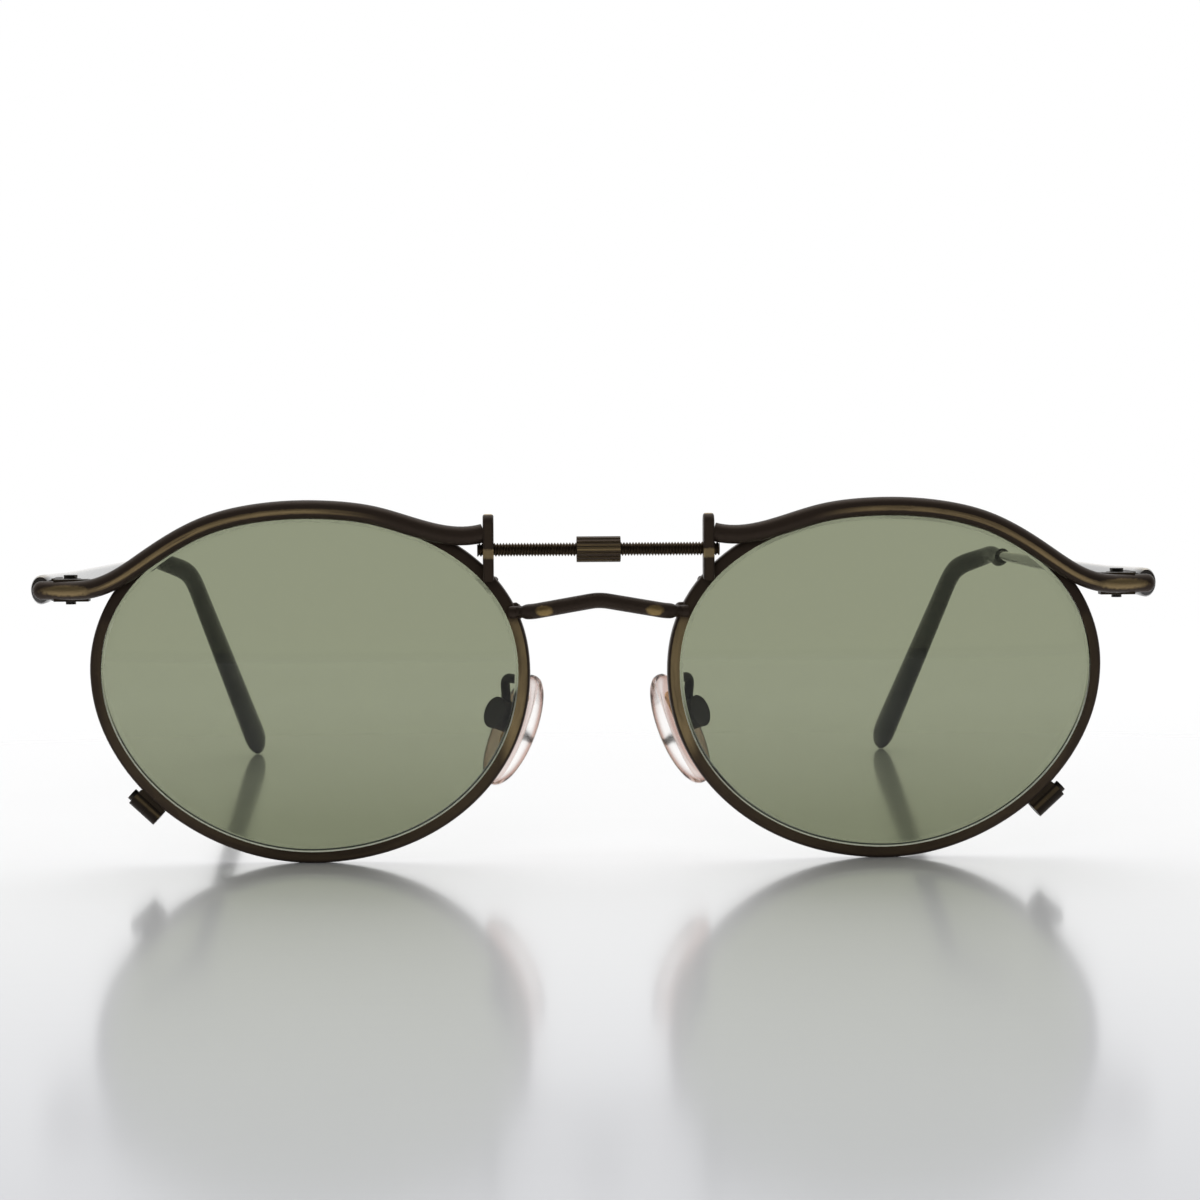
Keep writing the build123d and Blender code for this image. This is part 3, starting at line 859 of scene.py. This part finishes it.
def make_rod():
    """Rod with a rolled helical thread, cut square at both ends."""
    axis_y = (rod_low.y + rod_high.y) / 2
    axis_z = (rod_low.z + rod_high.z) / 2
    root = rod_radius - rod_depth
    turns = int((rod_high.x - rod_low.x) / rod_pitch) + rod_spare_turns
    start_x = (rod_low.x + rod_high.x - (turns + 1) * rod_pitch) / 2
    radius_at = {share: root for share in root_shares} | {share: rod_radius for share in crest_shares}
    outline = sorted(radius_at.items())
    bm = bmesh.new()
    verts = [bm.verts.new((start_x + share * rod_pitch, axis_y, axis_z + r)) for share, r in outline]
    edges = [bm.edges.new(pair) for pair in zip(verts, verts[1:])]
    bmesh.ops.spin(
        bm,
        geom=verts + edges,
        cent=(0, axis_y, axis_z),
        axis=(1, 0, 0),
        dvec=(rod_pitch / rod_steps, 0, 0),
        angle=2 * pi * turns,
        steps=rod_steps * turns,
        use_merge=False,
    )
    bmesh.ops.remove_doubles(bm, verts=bm.verts, dist=thread_merge_distance)
    for end, out in ((rod_low.x, -1), (rod_high.x, 1)):
        everything = bm.verts[:] + bm.edges[:] + bm.faces[:]
        plane = {"plane_co": (end, 0, 0), "plane_no": (out, 0, 0)}
        bmesh.ops.bisect_plane(bm, geom=everything, clear_outer=True, **plane)
        rim = [e for e in bm.edges if e.is_boundary and abs(e.verts[0].co.x - end) < end_tolerance]
        rim = [e for e in rim if abs(e.verts[1].co.x - end) < end_tolerance]
        bmesh.ops.edgeloop_fill(bm, edges=rim)
    bmesh.ops.recalc_face_normals(bm, faces=bm.faces)
    sharpen(bm, thread_angle)
    return place_mesh("threaded_rod_rolled", bm, rod_brass, "threaded_rod")


def pad_matrix(side):
    """Place of a nose pad: turned about its screw, and mirrored on the right."""
    splayed = Matrix.Rotation(radians(-pad_splay_angle), 4, "Z")
    tilted = Matrix.Rotation(radians(-pad_frontal_angle), 4, "Y")
    place = Matrix.Translation(pad_centre) @ tilted @ splayed
    return Matrix.Scale(side, 4, (1, 0, 0)) @ place


def make_pad(side, name):
    """Drop-shaped pad with a crowned face, a soft edge and a flat back."""
    place = pad_matrix(side)
    rings = []
    for depth, size in pad_back_shares + pad_face_shares:
        ring = []
        for i in range(pad_segments):
            turn = 2 * pi * i / pad_segments
            narrow = 1 + (pad_top_share - 1) * (1 + sin(turn)) / 2
            y = pad_width / 2 * narrow * cos(turn) * size
            z = pad_height / 2 * sin(turn) * size - pad_drop
            ring.append(place @ Vector((pad_back - pad_thickness * depth, y, z)))
        rings.append(ring)
    bm = ring_body(rings)
    sharpen(bm, pad_angle)
    return place_mesh(f"{name}_moulded", bm, silicone, name)


# Pieces that keep the model's own shape: name, finish, rounding of the edges, and whether the split cuts it
own_shapes = (
    ("rim", rim_bronze, 0, True),
    ("brow_bar", bar_bronze, 0, False),
    ("post", post_bronze, 0, False),
    ("rim_lock", block_bronze, 0.1 * MM, True),
    ("lock_screw", screw_steel, 0.06 * MM, False),
    ("pad_box", block_bronze, 0.1 * MM, False),
    ("pad_arm", block_bronze, 0, False),
    ("pad_screw", screw_steel, 0.05 * MM, False),
    ("pad_insert", gilt, 0.04 * MM, False),
    ("front_hinge", block_bronze, 0.08 * MM, False),
    ("hinge_screw", screw_steel, 0.06 * MM, False),
    ("temple", temple_bronze_painted_sheen, 0, False),
    ("temple_hinge", block_bronze, 0.08 * MM, False),
    ("tip", acetate, 0, False),
)
for side, word in sides:
    make_lens(side, f"{word}_lens")
    make_pad(side, f"{word}_nose_pad")
    for piece, finish, edge_round, is_split in own_shapes:
        smooth_copy(f"{word}_{piece}", finish, edge_round, side if is_split else 0)
make_bridge()
drops(bridge_drop_place, bridge_drop_size, "bridge_braze", "bridge")
drops(post_drop_place, post_drop_size, "post_braze", "left_post")
smooth_copy("knurled_sleeve", sleeve_bronze, 0.04 * MM)
make_rod()


# Table, background, lamps and camera


def pale_table():
    """Satin white board: plain and darker near the camera by painted shade, glossier and paler further off,
    then white.

    Its grain is drawn 2 mm deep and stretched across, which blurs what it mirrors.
    """
    material, tree, place = start("satin_white_board")
    apart = add(tree, "ShaderNodeSeparateXYZ", {}, {0: place.outputs["Object"]})
    # Painted shade: the board's colour greys towards the camera.
    back = add(
        tree,
        "ShaderNodeMapRange",
        {"From Min": table_painted_shade_from, "From Max": table_painted_shade_to},
        {"Value": apart.outputs["Y"]},
    )
    colour = add(
        tree,
        "ShaderNodeMix",
        {6: linear("#C1C2C6"), 7: linear("#EBEBEC")},
        {0: back.outputs[0]},
        data_type="RGBA",
    )
    far = add(
        tree,
        "ShaderNodeMapRange",
        {"From Min": table_white_from, "From Max": table_white_to},
        {"Value": apart.outputs["Y"]},
        interpolation_type="SMOOTHSTEP",
    )
    long = add(tree, "ShaderNodeMapping", {"Scale": (0.12, 1, 1)}, {"Vector": place.outputs["Object"]})
    grain = add(tree, "ShaderNodeTexNoise", {"Scale": 1 / (2 * MM), "Detail": 2}, {"Vector": long.outputs[0]})
    bump = add(
        tree,
        "ShaderNodeBump",
        {"Strength": 0.15, "Distance": 0.02 * MM},
        {"Height": grain.outputs["Fac"]},
    )
    gloss = add(
        tree,
        "ShaderNodeMapRange",
        {"From Min": table_gloss_from, "From Max": table_gloss_to, "To Max": 0.65},
        {"Value": apart.outputs["Y"]},
    )
    board = add(
        tree,
        "ShaderNodeBsdfPrincipled",
        {"Roughness": 0.15, "IOR": 1.5, "Coat Roughness": 0.08},
        {"Base Color": colour.outputs[2], "Coat Weight": gloss.outputs[0], "Normal": bump.outputs[0]},
    )
    white = add(tree, "ShaderNodeEmission", {"Color": (1, 1, 1, 1), "Strength": 1.0})
    both = add(tree, "ShaderNodeMixShader", {}, {0: far.outputs[0], 1: board.outputs[0], 2: white.outputs[0]})
    finish_material(tree, both.outputs[0])
    return material


def make_table():
    """Flat square table under the glasses, which is no piece of theirs."""
    bm = bmesh.new()
    bmesh.ops.create_grid(bm, x_segments=1, y_segments=1, size=table_half)
    mesh = bpy.data.meshes.new("table")
    bm.to_mesh(mesh)
    bm.free()
    mesh.materials.append(pale_table())
    table = bpy.data.objects.new("table", mesh)
    bpy.context.scene.collection.objects.link(table)


def make_world():
    """White backdrop for whatever looks at it. Metal mirrors it from behind, and a dim room from in front."""
    world = bpy.data.worlds.new("studio")
    bpy.context.scene.world = world
    world.use_nodes = True
    tree = world.node_tree
    tree.nodes.clear()
    place = add(tree, "ShaderNodeTexCoord")
    apart = add(tree, "ShaderNodeSeparateXYZ", {}, {0: place.outputs["Generated"]})
    behind = add(
        tree,
        "ShaderNodeMapRange",
        {"From Min": -0.5, "From Max": 0.4, "To Min": 0.12, "To Max": 1.0},
        {"Value": apart.outputs["Y"]},
        interpolation_type="SMOOTHSTEP",
    )
    room = add(tree, "ShaderNodeBackground", {"Color": (1, 1, 1, 1)}, {"Strength": behind.outputs[0]})
    backdrop = add(tree, "ShaderNodeBackground", {"Color": (1, 1, 1, 1), "Strength": 1.0})
    path = add(tree, "ShaderNodeLightPath")
    seen = add(
        tree,
        "ShaderNodeMath",
        {},
        {0: path.outputs["Is Camera Ray"], 1: path.outputs["Is Transmission Ray"]},
        operation="MAXIMUM",
    )
    both = add(
        tree,
        "ShaderNodeMixShader",
        {},
        {0: seen.outputs[0], 1: room.outputs[0], 2: backdrop.outputs[0]},
    )
    add(tree, "ShaderNodeOutputWorld", links={"Surface": both.outputs[0]})


def make_lamp(name, spot, size, power, shiny):
    """Soft box that faces the glasses and shows only in what it lights and, if shiny, in the metal."""
    lamp = bpy.data.lights.new(name, "AREA")
    lamp.shape = "SQUARE"
    lamp.size = size
    lamp.energy = power
    made = bpy.data.objects.new(name, lamp)
    made.location = spot
    made.visible_camera = made.visible_transmission = False
    made.visible_glossy = shiny
    made.rotation_euler = (lamp_target - Vector(spot)).to_track_quat("-Z", "Y").to_euler()
    bpy.context.scene.collection.objects.link(made)


def make_camera():
    """Camera from the photograph's view."""
    across_y = cos(camera_yaw) * cos(camera_pitch)
    ahead = Vector((-sin(camera_yaw) * cos(camera_pitch), across_y, -sin(camera_pitch)))
    right = Vector((cos(camera_yaw), sin(camera_yaw), 0))
    up = right.cross(ahead)
    rolled_right = right * cos(camera_roll) + up * sin(camera_roll)
    rolled_up = up * cos(camera_roll) - right * sin(camera_roll)
    turned = Matrix((rolled_right, rolled_up, -ahead)).transposed().to_4x4()
    camera = bpy.data.cameras.new("camera")
    camera.sensor_width = sensor_width
    camera.lens = sensor_width * focal_pixels / photo_width
    camera.clip_start = nearest_seen
    made = bpy.data.objects.new("camera", camera)
    made.matrix_world = Matrix.Translation(camera_place) @ turned
    bpy.context.scene.collection.objects.link(made)
    bpy.context.scene.camera = made


make_table()
make_world()
for soft_box in soft_boxes:
    make_lamp(*soft_box)
make_camera()
bpy.context.scene.view_settings.view_transform = "Standard"
